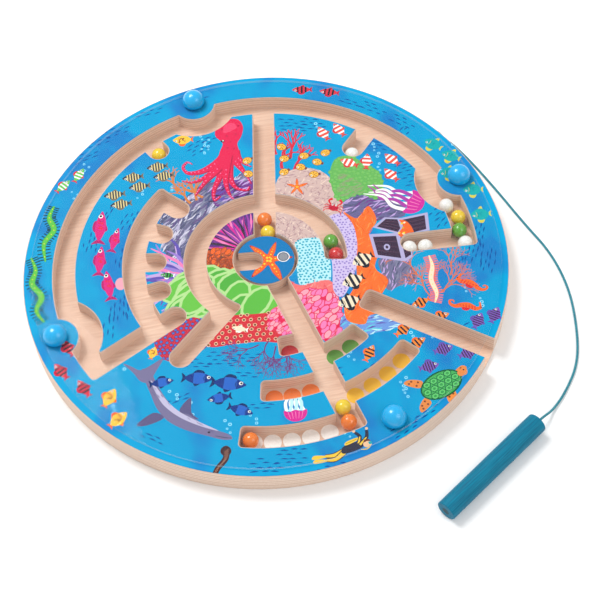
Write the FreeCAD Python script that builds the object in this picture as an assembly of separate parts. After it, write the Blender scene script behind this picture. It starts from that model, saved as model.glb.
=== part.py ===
"""Round magnetic wand maze: routed board, clear cover, turntable, balls and a tethered wand.

Frame: origin on the axis of the round board, on the plane that it stands on. +Z is up.
+X and +Y span the board, and angles are counted anticlockwise from +X, seen from above.
All lengths are in millimetres and all angles in degrees.
"""
import FreeCAD, Part
import math
import os

V = FreeCAD.Vector

# ---- board ----
BOARD_R = 150.0            # radius of the round board
BASE_T = 3.0               # plywood sheet under the maze
MAZE_T = 13.0              # routed plywood board
PRINT_T = 0.3              # printed sheet, let into the top of the maze board
PRINT_MARGIN = 0.45        # bare wood between a routed edge and the print
EDGE_ROUND = 0.6           # softened lower edge of the base
CHANNEL_DEPTH = 10.3       # routed depth of the ball channels
CHANNEL_W = 13.5           # width of a ball channel
POCKET_CORNER_R = 2.5      # rounded corners in the ends of the channels

# ---- cover and its pegs ----
COVER_R = 145.5
COVER_T = 2.0
PEG_PCD_R = 137.0          # radius of the circle that the pegs stand on
PEG_ANGLES = [21.4, 106.4, 199.3, 298.6]
PEG_HEAD_R = 7.25
PEG_SKIRT_H = 1.5          # straight part of the head
PEG_DOME_H = 6.5           # domed part of the head
PEG_SHANK_R = 3.0
PEG_SHANK_L = 12.0         # length below the head
PEG_HOLE_GAP = 0.1         # radial room in the maze board
PEG_COVER_GAP = 0.3        # radial room in the cover
PEG_KEEP_R = 14.0          # wood that stays round each peg
PEG_BEND_ROOM = 0.5        # extra width of the channel where it bends round a peg

# ---- ball channels: radii of the walls and angles ----
OUTER_R = 131.7            # outer wall of the outer channel
RING_IN_R = 37.0           # inner wall of the ring channel
RING_FROM = -6.0
COMB_IN_R = 75.0           # inner wall of the comb channel
COMB_FROM = 135.2
COMB_NOOK_R = 61.5         # bottom of the comb's nooks
COMB_NOOKS = 5
COMB_NOOK_FIRST = 140.0
COMB_NOOK_STEP = 18.2
NORTH_ANGLE = 86.7         # channel from the turntable to the outer channel
EAST_ANGLE = 1.9           # dead end on the right
EAST_R = 84.7
NE_ANGLE = 52.4
NE_R = 96.6
NW_ANGLE = 124.3
NW_R = 106.0
SOUTH_ANGLE = -70.5        # channel from the turntable to the goal pockets
SW_BAR = [(-18.6, -25.7), (-55.0, -66.2)]   # centre line of the lower left dead end
# goal pockets: name, inner radius, angle of the closed end
GOALS = [("red", 58.0, -87.0), ("green", 71.7, -47.3), ("orange", 87.5, -95.6),
         ("yellow", 101.4, -41.0), ("white", 118.0, -100.8)]

# ---- turntable ----
TABLE_POCKET_R = 20.0
TABLE_R = 18.0
TABLE_TOP_DROP = 1.3       # from the top of the board down to the top of the turntable
TABLE_FLOAT = 0.3          # room under the turntable
TABLE_SLOT_ROOM = 0.1      # how much wider the slot is than a channel
TABLE_SLOT_END = -8.2      # x of the centre of the slot's round end
TABLE_PRINT_T = 0.2
TABLE_MAGNET_R = 2.8
TABLE_MAGNET_T = 3.0
TABLE_MAGNET_X = 11.2
TABLE_MAGNET_Y = 1.2
MAGNET_GAP = 0.05

# ---- balls ----
BALL_R = 4.75
BALL_FLOAT = 0.2           # room between a ball and the channel floor
# colour, x and y of each ball's centre
BALLS = [("white_1", 62.2, 80.7), ("white_2", 117.4, 32.6), ("white_3", 125.3, 2.5),
         ("white_4", 90.0, 2.3), ("white_5", 100.1, 2.4), ("yellow_1", 123.7, 22.9),
         ("yellow_2", -63.8, 93.8), ("yellow_3", 3.0, 23.5), ("yellow_4", 37.6, -106.6),
         ("green_1", 123.0, 12.8), ("green_2", 41.8, 12.5), ("orange_1", 1.6, 33.8),
         ("orange_2", 40.0, -116.5), ("orange_3", -17.4, -122.9), ("red_1", 44.1, 2.2)]

# ---- wand and its slot ----
WAND_R = 6.25
WAND_L = 79.0
WAND_EDGE = 0.7            # rounded ends
WAND_END = (148.7, -125.2) # where the cord enters the wand, on its axis
WAND_ANGLE = 40.0          # the wand points this way, from its magnet to its cord
WAND_MAGNET_R = 2.4
WAND_MAGNET_L = 5.0
WAND_CORD_HOLE_R = 1.1
WAND_CORD_HOLE_L = 6.0
WAND_FIT = 0.7             # room beside the wand in its slot
SLOT_ANGLE = -31.5
SLOT_END_ROOM = 4.2        # how much longer the slot is than the wand
SLOT_CORNER_R = 3.0

# ---- cord ----
CORD_R = 0.75
ANCHOR_ANGLE = 39.0        # where the cord leaves the rim
ANCHOR_Z = 8.5
ANCHOR_R = 2.2
ANCHOR_L = 7.0
ANCHOR_FLANGE_R = 3.2
ANCHOR_FLANGE_T = 0.8
ANCHOR_GAP = 0.05
CORD_CORNER = 0.45         # share of a run that each of its corners rounds
# the cord's route between the rim and the wand, chosen by hand
CORD_ROUTE = [(119.7, 96.9, 8.2), (122.7, 97.3, 4.6), (126.0, 94.6, 1.2), (130.6, 90.2, 0.8),
              (140.8, 73.4, 0.8), (153.8, 47.8, 0.8), (166.4, 20.6, 0.8), (179.0, -3.2, 0.8),
              (185.6, -31.6, 0.8), (184.8, -62.0, 0.8), (180.4, -86.0, 0.8), (169.0, -105.2, 0.8),
              (159.6, -116.0, 1.4), (153.4, -121.3, 5.6)]

# ---- levels worked out from the sizes above ----
MAZE_Z = BASE_T
TOP_Z = BASE_T + MAZE_T
FLOOR_Z = TOP_Z - CHANNEL_DEPTH
COVER_Z = TOP_Z
HEAD_Z = COVER_Z + COVER_T
OUTER_IN_R = OUTER_R - CHANNEL_W
SLOT_IN_R = BOARD_R - WAND_L - SLOT_END_ROOM
TABLE_SLOT_W = CHANNEL_W + TABLE_SLOT_ROOM
PEG_BEND_R = PEG_KEEP_R + CHANNEL_W + PEG_BEND_ROOM
PAD = 6.0                  # how far a cutting shape runs past what it cuts
COMB_LAST = COMB_NOOK_FIRST + (COMB_NOOKS - 1) * COMB_NOOK_STEP


def polar(radius, angle, z=0.0):
    """Point at a radius and an angle from the board's axis."""
    turn = math.radians(angle)
    return V(radius * math.cos(turn), radius * math.sin(turn), z)


def face(*edges):
    return Part.Face(Part.Wire(list(edges)))


def disc(radius, x=0.0, y=0.0):
    return face(Part.makeCircle(radius, V(x, y, 0)))


def band(r_in, width, start, end, margin=0.0):
    """Sector of a ring between two angles, grown by a margin all round."""
    spread = math.degrees(margin / (r_in + width / 2))
    r_in, r_out, start, end = r_in - margin, r_in + width + margin, start - spread, end + spread
    middle = (start + end) / 2
    outer = Part.Arc(polar(r_out, start), polar(r_out, middle), polar(r_out, end)).toShape()
    inner = Part.Arc(polar(r_in, end), polar(r_in, middle), polar(r_in, start)).toShape()
    return face(outer, Part.makeLine(polar(r_out, end), polar(r_in, end)),
                inner, Part.makeLine(polar(r_in, start), polar(r_out, start)))


def strip(a, b, width, margin=0.0, round_start=False):
    """Straight strip from a to b, with a half round end at a if asked."""
    width = width + 2 * margin
    along = b.sub(a).normalize()
    side = V(-along.y, along.x, 0).multiply(width / 2)
    corners = [a.add(side), a.sub(side), b.sub(side), b.add(side)]
    if round_start:
        tip = a.sub(V(along).multiply(width / 2))
        start = Part.Arc(corners[0], tip, corners[1]).toShape()
    else:
        start = Part.makeLine(corners[0], corners[1])
    return face(start, Part.makeLine(corners[1], corners[2]),
                Part.makeLine(corners[2], corners[3]), Part.makeLine(corners[3], corners[0]))


def nook(angle, tip_r, end_r, margin):
    """Radial channel whose round inner end reaches in to tip_r."""
    return strip(polar(tip_r + CHANNEL_W / 2, angle), polar(end_r, angle), CHANNEL_W, margin, True)


def one_face(shape):
    """The single face that is left once a plan's seams are gone."""
    faces = Part.makeShell(shape.Faces).removeSplitter().Faces
    if len(faces) != 1:
        print("a plan has", len(faces), "faces")
    return faces[0]


def union(faces):
    return one_face(faces[0].multiFuse(faces[1:]))


def rounded(plan, radius, low=0.0, high=10 * BOARD_R):
    """A plan with the corners rounded that lie between two distances from the board's axis."""
    block = plan.extrude(V(0, 0, 1))
    upright = [e for e in block.Edges if e.BoundBox.ZLength > 0.5
               and low <= math.hypot(e.BoundBox.Center.x, e.BoundBox.Center.y) <= high]
    top = [f for f in block.makeFillet(radius, upright).Faces if f.BoundBox.ZMin > 0.5][0]
    top.translate(V(0, 0, -1))
    return top


def outer_channel(margin):
    """Channel along the rim, led round three pegs, from the right dead end to the last comb nook."""
    middle = (EAST_ANGLE + COMB_LAST) / 2
    plan = union([band(OUTER_IN_R, CHANNEL_W, EAST_ANGLE, middle, margin),
                  band(OUTER_IN_R, CHANNEL_W, middle, COMB_LAST, margin)])
    inside = disc(OUTER_R + margin)
    for angle in PEG_ANGLES[:3]:
        peg_at = polar(PEG_PCD_R, angle)
        bend = disc(PEG_BEND_R + margin, peg_at.x, peg_at.y).common(inside)
        plan = one_face(plan.fuse(bend).cut(disc(PEG_KEEP_R - margin, peg_at.x, peg_at.y)))
    return plan


def to_outer_wall(plan, margin):
    """A plan cut off at the outer channel's far wall, with its corners there rounded."""
    return rounded(one_face(plan.common(disc(OUTER_R + margin))), POCKET_CORNER_R + margin, low=OUTER_R - 1)


def comb_channel(margin):
    corner = POCKET_CORNER_R + margin
    parts = [rounded(band(COMB_IN_R, CHANNEL_W, COMB_FROM, COMB_LAST, margin), corner)]
    for i in range(COMB_NOOKS - 1):
        angle = COMB_NOOK_FIRST + i * COMB_NOOK_STEP
        parts.append(nook(angle, COMB_NOOK_R, COMB_IN_R + PAD, margin))
    return parts + [to_outer_wall(nook(COMB_LAST, COMB_NOOK_R, BOARD_R, margin), margin)]


def ring_channel(margin):
    """Channel round the turntable, and the straight dead end that leaves it at the lower left."""
    corner = POCKET_CORNER_R + margin
    bar_start, bar_end = [V(x, y, 0) for x, y in SW_BAR]
    bar = one_face(strip(bar_end, bar_start, CHANNEL_W, margin, True).cut(disc(RING_IN_R - margin)))
    meet = math.degrees(math.atan2(bar_start.y, bar_start.x)) % 360
    middle = (RING_FROM + meet) / 2
    return [rounded(band(RING_IN_R, CHANNEL_W, RING_FROM, middle, margin), corner),
            band(RING_IN_R, CHANNEL_W, middle - PAD, meet, margin),
            rounded(bar, corner, high=RING_IN_R + 1)]


def goal_pockets(margin):
    """Five curved pockets that open off the south channel, to its left or right."""
    corner = POCKET_CORNER_R + margin
    south = strip(polar(TABLE_POCKET_R / 2, SOUTH_ANGLE), polar(BOARD_R, SOUTH_ANGLE), CHANNEL_W, margin)
    parts = [to_outer_wall(south, margin)]
    for name, r_in, end in GOALS:
        pocket = band(r_in, CHANNEL_W, min(end, SOUTH_ANGLE), max(end, SOUTH_ANGLE), margin)
        parts.append(rounded(pocket, corner))
    return parts


def channel_plan(margin=0.0):
    """Plan of all the ball channels, grown by a margin: one branching outline with no island in it."""
    north = strip(polar(TABLE_POCKET_R / 2, NORTH_ANGLE), polar(OUTER_IN_R + PAD, NORTH_ANGLE),
                  CHANNEL_W, margin)
    parts = [outer_channel(margin), to_outer_wall(nook(EAST_ANGLE, EAST_R, BOARD_R, margin), margin),
             nook(NE_ANGLE, NE_R, OUTER_IN_R + PAD, margin),
             nook(NW_ANGLE, NW_R, OUTER_IN_R + PAD, margin),
             north, disc(TABLE_POCKET_R + margin)]
    return union(parts + comb_channel(margin) + ring_channel(margin) + goal_pockets(margin))


def slot_plan(margin=0.0):
    """Plan of the wand's slot, open at the rim."""
    start, end = polar(SLOT_IN_R - margin, SLOT_ANGLE), polar(BOARD_R + 4 * PAD, SLOT_ANGLE)
    plan = strip(start, end, 2 * (WAND_R + WAND_FIT), margin)
    return rounded(plan, SLOT_CORNER_R + margin, high=SLOT_IN_R + WAND_R)


def extrude(plan, low, high):
    body = plan.copy()
    body.translate(V(0, 0, low))
    return body.extrude(V(0, 0, high - low))


def cylinder(radius, length, base, axis=V(0, 0, 1)):
    return Part.makeCylinder(radius, length, base, axis)


def peg(angle):
    """Domed peg: a dome on a short skirt, and a shank below."""
    at = polar(PEG_PCD_R, angle)
    skirt_z = HEAD_Z + PEG_SKIRT_H
    sphere_r = (PEG_HEAD_R ** 2 + PEG_DOME_H ** 2) / (2 * PEG_DOME_H)
    centre_z = skirt_z + PEG_DOME_H - sphere_r
    rise = math.degrees(math.asin((skirt_z - centre_z) / sphere_r))
    dome = Part.makeSphere(sphere_r, V(0, 0, centre_z), V(0, 0, 1), rise, 90, 360)
    skirt = cylinder(PEG_HEAD_R, PEG_SKIRT_H, V(0, 0, HEAD_Z))
    shank = cylinder(PEG_SHANK_R, PEG_SHANK_L, V(0, 0, HEAD_Z - PEG_SHANK_L))
    body = skirt.fuse([dome, shank]).removeSplitter()
    body.translate(at)
    return body


def peg_holes(gap, low, high):
    return [cylinder(PEG_SHANK_R + gap, high - low, polar(PEG_PCD_R, a, low)) for a in PEG_ANGLES]


def anchor():
    """Turned plug in the rim that holds the cord's end, with its cutting shape."""
    out = polar(1.0, ANCHOR_ANGLE)
    deep = polar(BOARD_R - ANCHOR_L, ANCHOR_ANGLE, ANCHOR_Z)
    rim = polar(BOARD_R, ANCHOR_ANGLE, ANCHOR_Z)
    plug = cylinder(ANCHOR_R, ANCHOR_L, deep, out)
    body = plug.fuse(cylinder(ANCHOR_FLANGE_R, ANCHOR_FLANGE_T, rim, out)).removeSplitter()
    hole = cylinder(ANCHOR_R + ANCHOR_GAP, ANCHOR_L + PAD, deep, out)
    return body, hole


def base_board():
    body = cylinder(BOARD_R, BASE_T, V(0, 0, 0))
    lower = [e for e in body.Edges if e.BoundBox.ZMax < BASE_T / 2]
    return body.makeFillet(EDGE_ROUND, lower)


def maze_board(plan, slot, anchor_hole):
    body = cylinder(BOARD_R, MAZE_T - PRINT_T, V(0, 0, MAZE_Z))
    cutters = [extrude(plan, FLOOR_Z, TOP_Z + PAD), extrude(slot, MAZE_Z - PAD, TOP_Z + PAD), anchor_hole]
    cutters += peg_holes(PEG_HOLE_GAP, HEAD_Z - PEG_SHANK_L, TOP_Z + PAD)
    return body.cut(cutters)


def print_sheet():
    """Thin printed sheet that follows every routed edge at the print's margin."""
    sheet = disc(BOARD_R - PRINT_MARGIN).cut([channel_plan(PRINT_MARGIN), slot_plan(PRINT_MARGIN)])
    body = extrude(sheet, TOP_Z - PRINT_T, TOP_Z)
    return body.cut(peg_holes(PEG_HOLE_GAP, TOP_Z - PAD, TOP_Z + PAD))


def turntable():
    """Disc with a ball slot, the thin print on it and the magnet let into it."""
    low = FLOOR_Z + TABLE_FLOAT
    top = TOP_Z - TABLE_TOP_DROP
    slot = strip(V(TABLE_SLOT_END, 0, 0), V(-TABLE_R - PAD, 0, 0), TABLE_SLOT_W, round_start=True)
    plan = disc(TABLE_R).cut(slot)
    magnet_base = V(TABLE_MAGNET_X, TABLE_MAGNET_Y, top - TABLE_MAGNET_T)
    hole = cylinder(TABLE_MAGNET_R + MAGNET_GAP, TABLE_MAGNET_T + PAD, magnet_base)
    wood = extrude(plan, low, top - TABLE_PRINT_T).cut(hole)
    sheet = extrude(plan, top - TABLE_PRINT_T, top).cut(hole)
    return wood, sheet, cylinder(TABLE_MAGNET_R, TABLE_MAGNET_T, magnet_base)


def wand():
    """Round stick with a magnet in one end and the cord's hole in the other."""
    along = polar(1.0, WAND_ANGLE)
    end = V(WAND_END[0], WAND_END[1], WAND_R)
    start = end.sub(V(along).multiply(WAND_L))
    stick = cylinder(WAND_R, WAND_L, start, along)
    rims = [e for e in stick.Edges if isinstance(e.Curve, Part.Circle)]
    stick = stick.makeFillet(WAND_EDGE, rims)
    magnet = cylinder(WAND_MAGNET_R, WAND_MAGNET_L, start, along)
    magnet_hole = cylinder(WAND_MAGNET_R + MAGNET_GAP, WAND_MAGNET_L, start, along)
    cord_hole = cylinder(WAND_CORD_HOLE_R, WAND_CORD_HOLE_L,
                         end.sub(V(along).multiply(WAND_CORD_HOLE_L)), along)
    return stick.cut([magnet_hole, cord_hole]), magnet


def cord():
    """Tube along straight runs joined by tangent arcs, from the rim plug to the wand's end."""
    first = polar(BOARD_R + ANCHOR_FLANGE_T, ANCHOR_ANGLE, ANCHOR_Z)
    last = V(WAND_END[0], WAND_END[1], WAND_R)
    points = [first] + [V(*p) for p in CORD_ROUTE] + [last]
    edges = []
    radii = []
    here = points[0]
    for before, corner, after in zip(points, points[1:], points[2:]):
        back, on = before.sub(corner), after.sub(corner)
        turn = math.pi - back.getAngle(on)
        reach = CORD_CORNER * min(back.Length, on.Length)
        radius = reach / math.tan(turn / 2)
        back.normalize()
        on.normalize()
        enter = corner.add(V(back).multiply(reach))
        leave = corner.add(V(on).multiply(reach))
        inward = back.add(on).normalize()
        middle = corner.add(inward.multiply(radius / math.cos(turn / 2) - radius))
        edges.append(Part.LineSegment(here, enter).toShape())
        edges.append(Part.Arc(enter, middle, leave).toShape())
        radii.append((round(radius, 1), round(math.degrees(turn), 1)))
        here = leave
    edges.append(Part.LineSegment(here, points[-1]).toShape())
    path = Part.Wire(edges)
    section = Part.Wire(Part.makeCircle(CORD_R, points[0], points[1].sub(points[0])))
    tube = path.makePipeShell([section], True, False)
    length = sum(edge.Length for edge in edges)
    print("cord: length %.1f, volume over section times length %.4f"
          % (length, tube.Volume / (math.pi * CORD_R ** 2 * length)))
    print("cord: radius and turn at each point", radii)
    return tube


def ball(x, y):
    return Part.makeSphere(BALL_R, V(x, y, FLOOR_Z + BALL_FLOAT + BALL_R))


def build():
    """All nodes by name."""
    plan = channel_plan()
    slot = slot_plan()
    anchor_body, anchor_hole = anchor()
    nodes = {"base_board": base_board(),
             "maze_board": maze_board(plan, slot, anchor_hole),
             "print_sheet": print_sheet()}
    cover = cylinder(COVER_R, COVER_T, V(0, 0, COVER_Z))
    nodes["cover"] = cover.cut(peg_holes(PEG_COVER_GAP, COVER_Z - PAD, HEAD_Z + PAD))
    for i, angle in enumerate(PEG_ANGLES):
        nodes["peg_%d" % (i + 1)] = peg(angle)
    nodes["turntable"], nodes["turntable_print"], nodes["turntable_magnet"] = turntable()
    for name, x, y in BALLS:
        nodes["ball_" + name] = ball(x, y)
    nodes["wand"], nodes["wand_magnet"] = wand()
    nodes["cord_anchor"] = anchor_body
    nodes["cord"] = cord()
    return nodes


def save(nodes):
    os.makedirs("parts", exist_ok=True)
    for name, shape in nodes.items():
        solid = shape.Solids[0] if len(shape.Solids) == 1 else shape
        if not solid.isValid() or len(shape.Solids) != 1:
            print("check", name, "valid", solid.isValid(), "solids", len(shape.Solids))
        solid.exportStep("parts/%s.step" % name)
    print(len(nodes), "nodes")


save(build())
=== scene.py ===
"""Looks of a magnetic wand ball maze: printed undersea art, plywood, paint, cord, light and camera."""
import math
import random

import bmesh
import bpy
import numpy as np
from mathutils import Matrix, Vector
from mathutils.geometry import delaunay_2d_cdt


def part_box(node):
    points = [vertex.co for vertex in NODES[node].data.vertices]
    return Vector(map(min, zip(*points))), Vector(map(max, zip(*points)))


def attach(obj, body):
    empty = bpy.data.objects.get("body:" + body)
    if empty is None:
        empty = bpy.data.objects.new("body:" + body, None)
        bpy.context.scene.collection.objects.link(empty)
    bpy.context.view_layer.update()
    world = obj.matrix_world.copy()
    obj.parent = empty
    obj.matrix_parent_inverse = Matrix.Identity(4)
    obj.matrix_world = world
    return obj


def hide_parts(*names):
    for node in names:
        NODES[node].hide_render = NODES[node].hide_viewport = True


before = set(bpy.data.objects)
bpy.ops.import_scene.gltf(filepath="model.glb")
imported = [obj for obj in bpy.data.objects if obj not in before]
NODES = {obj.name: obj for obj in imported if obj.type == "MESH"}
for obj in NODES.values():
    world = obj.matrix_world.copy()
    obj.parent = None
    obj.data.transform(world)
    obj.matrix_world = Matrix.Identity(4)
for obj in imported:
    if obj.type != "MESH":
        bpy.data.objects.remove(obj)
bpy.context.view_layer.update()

MM = 0.001
TOP_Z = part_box("print_sheet")[1][2] / MM  # the printed top of the board, in mm
ART_SHIFT = Vector((-0.3, -2.2))  # the drawing's origin on the board, in mm
SETBACK = 0.02  # mm by which the picture's top lies under the CAD sheet's


# --- camera, light and floor
DISTANCE, ELEVATION = 0.89721, 54.735  # of the camera: metres, and degrees above the board
ROLL, YAW, PITCH = -4.905, -1.2286, 1.698  # small turns, in degrees, that frame the board off centre
LENS, SENSOR = 86.99, 36.0
AIM = Vector((-0.0001, -0.0010, TOP_Z * MM))  # the point that the camera stands round


def heading(turn):
    """Cosine and sine of an angle in degrees."""
    angle = math.radians(turn)
    return math.cos(angle), math.sin(angle)


def put_in_scene(name, data):
    made = bpy.data.objects.new(name, data)
    bpy.context.scene.collection.objects.link(made)
    return made


def aim_camera():
    """Camera above the board's front, as a long lens on a tripod sees it."""
    c, s = heading(ELEVATION)
    place = Vector((0.0, -DISTANCE * c, DISTANCE * s))
    forward = -place.normalized()
    right = Vector((1, 0, 0))
    look = Matrix((right, -right.cross(forward), forward))
    for angle, axis in ((YAW, "Y"), (PITCH, "X"), (ROLL, "Z")):
        look = Matrix.Rotation(math.radians(angle), 3, axis) @ look
    turn = Matrix((look[0], -look[1], -look[2])).transposed()
    data = bpy.data.cameras.new("camera")
    data.lens, data.sensor_width = LENS, SENSOR
    camera = put_in_scene("camera", data)
    camera.matrix_world = Matrix.Translation(place + AIM) @ turn.to_4x4()
    bpy.context.scene.camera = camera


def area_light(name, place, size, power):
    """Round soft light that faces the board."""
    data = bpy.data.lights.new(name, "AREA")
    data.shape, data.size, data.energy = "DISK", size, power
    lamp = put_in_scene(name, data)
    lamp.location = place
    lamp.rotation_euler = (-Vector(place)).to_track_quat("-Z", "Y").to_euler()


def light_studio():
    bpy.context.scene.view_settings.view_transform = "Standard"
    world = bpy.data.worlds.new("studio")
    bpy.context.scene.world = world
    world.use_nodes = True
    background = world.node_tree.nodes["Background"]
    background.inputs["Color"].default_value = grey(1.0)
    background.inputs["Strength"].default_value = 0.64
    area_light("key", (-0.55, 0.55, 1.3), 0.7, 16)
    area_light("fill", (0.9, -0.6, 1.1), 1.0, 5)


def lay_floor():
    mesh = bpy.data.meshes.new("floor")
    mesh.from_pydata([(-4, -4, 0), (4, -4, 0), (4, 4, 0), (-4, 4, 0)], [], [(0, 1, 2, 3)])
    mesh.materials.append(new_material("floor", Base_Color=ink(250, 250, 250), Roughness=0.7)[0])
    put_in_scene("floor", mesh)


# --- materials
def ink(red, green, blue):
    """Linear colour of a printed tone given in 8 bit steps."""
    tones = [c / 255 for c in (red, green, blue)]
    return tuple(c / 12.92 if c <= 10 / 255 else ((c + 0.055) / 1.055) ** 2.4 for c in tones) + (1.0,)


def grey(value):
    return (value,) * 3 + (1.0,)


def new_material(name, **values):
    """Material, its node tree and its shader, with plain values on the shader's own sockets."""
    material = bpy.data.materials.new(name)
    material.use_nodes = True
    shader = material.node_tree.nodes["Principled BSDF"]
    for key, value in values.items():
        shader.inputs[key.replace("_", " ")].default_value = value
    return material, material.node_tree, shader


def node(tree, kind, **values):
    made = tree.nodes.new("ShaderNode" + kind)
    for key, value in values.items():
        if key in made.inputs:
            made.inputs[key].default_value = value
        else:
            setattr(made, key, value)
    return made


def feed(tree, value, socket):
    """Another node's output, or a plain value, into a socket."""
    if isinstance(value, bpy.types.NodeSocket):
        tree.links.new(value, socket)
    else:
        socket.default_value = value


def ramp(tree, source, stops):
    """Colour ramp from a list of (position, colour)."""
    made = node(tree, "ValToRGB")
    bar = made.color_ramp
    while len(bar.elements) < len(stops):
        bar.elements.new(0.5)
    for element, (position, colour) in zip(bar.elements, stops):
        element.position, element.color = position, colour
    feed(tree, source, made.inputs[0])
    return made.outputs[0]


def fade(tree, source, low, high, start, end):
    """Grey ramp from one strength to another."""
    return ramp(tree, source, [(low, grey(start)), (high, grey(end))])


def mix(tree, factor, a, b, blend="MIX"):
    """Mix of two colours; each argument is a socket, or a plain value."""
    made = node(tree, "Mix", data_type="RGBA", blend_type=blend)
    for socket, value in ((made.inputs[0], factor), (made.inputs[6], a), (made.inputs[7], b)):
        feed(tree, value, socket)
    return made.outputs[2]


def calculate(tree, operation, *values):
    made = node(tree, "Math", operation=operation)
    for socket, value in zip(made.inputs, values):
        feed(tree, value, socket)
    return made.outputs[0]


def height_part(tree, vector):
    made = node(tree, "SeparateXYZ")
    feed(tree, vector, made.inputs[0])
    return made.outputs["Z"]


def flatness(tree):
    """1 where a face lies level, 0 on an upright edge."""
    return calculate(tree, "ABSOLUTE", height_part(tree, node(tree, "NewGeometry").outputs["Normal"]))


def stretched(tree, scale, turn=0.0):
    """Object coordinates turned about the upright axis, then scaled along the turned axes."""
    mapping = node(tree, "Mapping", vector_type="TEXTURE")
    mapping.inputs["Scale"].default_value = [1 / s if s else 1000.0 for s in scale]
    mapping.inputs["Rotation"].default_value = (0, 0, turn)
    feed(tree, node(tree, "TexCoord").outputs["Object"], mapping.inputs["Vector"])
    return mapping.outputs[0]


def noise(tree, scale, turn=0.0, detail=4.0, rough=0.55):
    made = node(tree, "TexNoise", Scale=1.0, Detail=detail, Roughness=rough)
    feed(tree, stretched(tree, scale, turn), made.inputs["Vector"])
    return made.outputs["Fac"]


def bump(tree, height, strength, distance):
    made = node(tree, "Bump", Strength=strength, Distance=distance)
    feed(tree, height, made.inputs["Height"])
    feed(tree, made.outputs[0], tree.nodes["Principled BSDF"].inputs["Normal"])


def plywood_material(name, ply, low):
    """Sanded plywood, its plies of the given mm: streaked faces, and darker glue lines on the edges."""
    material, tree, shader = new_material(name, Roughness=0.62)
    grain = noise(tree, (60, 900, 400), 0.12, 5.0, 0.6)
    broad = noise(tree, (9, 60, 40), 0.12, 3.0)
    face_tone = ramp(tree, grain, [(0.30, ink(214, 174, 148)), (0.62, ink(232, 200, 176))])
    face_tone = mix(tree, fade(tree, broad, 0.35, 0.7, 0.0, 0.45), face_tone, ink(218, 180, 156))
    height = height_part(tree, node(tree, "TexCoord").outputs["Object"])
    level = calculate(tree, "MULTIPLY_ADD", height, 1 / (ply * MM), -low / ply)
    wobble = calculate(tree, "MULTIPLY_ADD", noise(tree, (30, 30, 60), 0.0, 2.0), 0.22, level)
    layer = calculate(tree, "PINGPONG", wobble, 1.0)
    edge_tone = ramp(tree, layer, [
        (0.0, ink(196, 158, 132)), (0.10, ink(232, 204, 184)), (0.45, ink(242, 222, 206)),
        (0.72, ink(226, 198, 178)), (1.0, ink(218, 188, 166))])
    speckle = noise(tree, (1500, 1500, 900), 0.0, 3.0, 0.7)
    edge_tone = mix(tree, fade(tree, speckle, 0.45, 0.75, 0.0, 0.35), edge_tone, ink(184, 146, 120))
    is_edge = fade(tree, flatness(tree), 0.3, 0.6, 1.0, 0.0)
    feed(tree, mix(tree, is_edge, face_tone, edge_tone), shader.inputs["Base Color"])
    bump(tree, grain, 0.25, 0.0002)
    return material


def print_material():
    """Printed paper under varnish: the ink is on the mesh, the sea's soft patches are mixed in."""
    material, tree, shader = new_material("print", Roughness=0.5, Specular_IOR_Level=0.1)
    colour = node(tree, "VertexColor", layer_name="ink")
    patches = noise(tree, (26, 18, 0), 0.0, 2.0, 0.45)
    sea = mix(tree, fade(tree, patches, 0.50, 0.60, 0.0, 1.0), ink(0, 152, 202), ink(20, 122, 190))
    cloud = noise(tree, (90, 60, 0), 0.5, 3.0)
    sea = mix(tree, fade(tree, cloud, 0.45, 0.75, 0.0, 0.55), sea, ink(0, 162, 210))
    tone = mix(tree, colour.outputs["Alpha"], sea, colour.outputs["Color"])
    chalk = noise(tree, (700, 1600, 0), 0.6, 4.0, 0.7)
    tone = mix(tree, fade(tree, chalk, 0.45, 0.85, 0.0, 0.16), tone, ink(255, 250, 245), "SOFT_LIGHT")
    feed(tree, tone, shader.inputs["Base Color"])
    return material


def paint_material(name, colour, rough=0.16, coat=0.6, fleck=0.08):
    """Gloss paint with a faint fleck and orange peel."""
    material, tree, shader = new_material(name, Roughness=rough, Coat_Weight=coat, Coat_Roughness=0.08)
    light = tuple(min(1.0, c * (1 + fleck) + fleck * 0.05) for c in colour[:3]) + (1,)
    dark = tuple(c * (1 - fleck) for c in colour[:3]) + (1,)
    spots = noise(tree, (900, 900, 900), 0.0, 2.0)
    feed(tree, ramp(tree, spots, [(0.35, dark), (0.65, light)]), shader.inputs["Base Color"])
    bump(tree, noise(tree, (260, 260, 260), 0.0, 1.0), 0.08, 0.0002)
    return material


def stain_material(name, dark, light, along):
    """Stained hardwood with its grain along one direction."""
    material, tree, shader = new_material(name, Roughness=0.5, Specular_IOR_Level=0.2)
    grain = noise(tree, (50, 1300, 1300), along, 5.0, 0.62)
    feed(tree, ramp(tree, grain, [(0.32, dark), (0.66, light)]), shader.inputs["Base Color"])
    bump(tree, grain, 0.3, 0.0002)
    return material


def cover_material():
    """Clear acrylic: nearly unseen on its faces; its sawn edges paler, with a painted highlight along them.
    """
    material, tree, shader = new_material("clear_cover", Roughness=0.03)
    flat = flatness(tree)
    # painted highlight: the upright sawn edges get more opacity and a pale bright tone, standing in for the
    # light they catch; the flat faces get a dim tone
    feed(tree, fade(tree, flat, 0.4, 0.7, 0.30, 0.03), shader.inputs["Alpha"])
    painted_edge_highlight = ramp(tree, flat, [(0.4, ink(226, 242, 250)), (0.7, ink(90, 130, 150))])
    feed(tree, painted_edge_highlight, shader.inputs["Base Color"])
    return material


def metal_material(name, tone, rough):
    """Brushed metal."""
    material, tree, shader = new_material(name, Metallic=0.9, Roughness=rough)
    dark = tuple(c * 0.8 for c in tone[:3]) + (1,)
    brushed = noise(tree, (900, 60, 60), 0.0, 3.0)
    feed(tree, ramp(tree, brushed, [(0.3, dark), (0.7, tone)]), shader.inputs["Base Color"])
    return material


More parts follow.
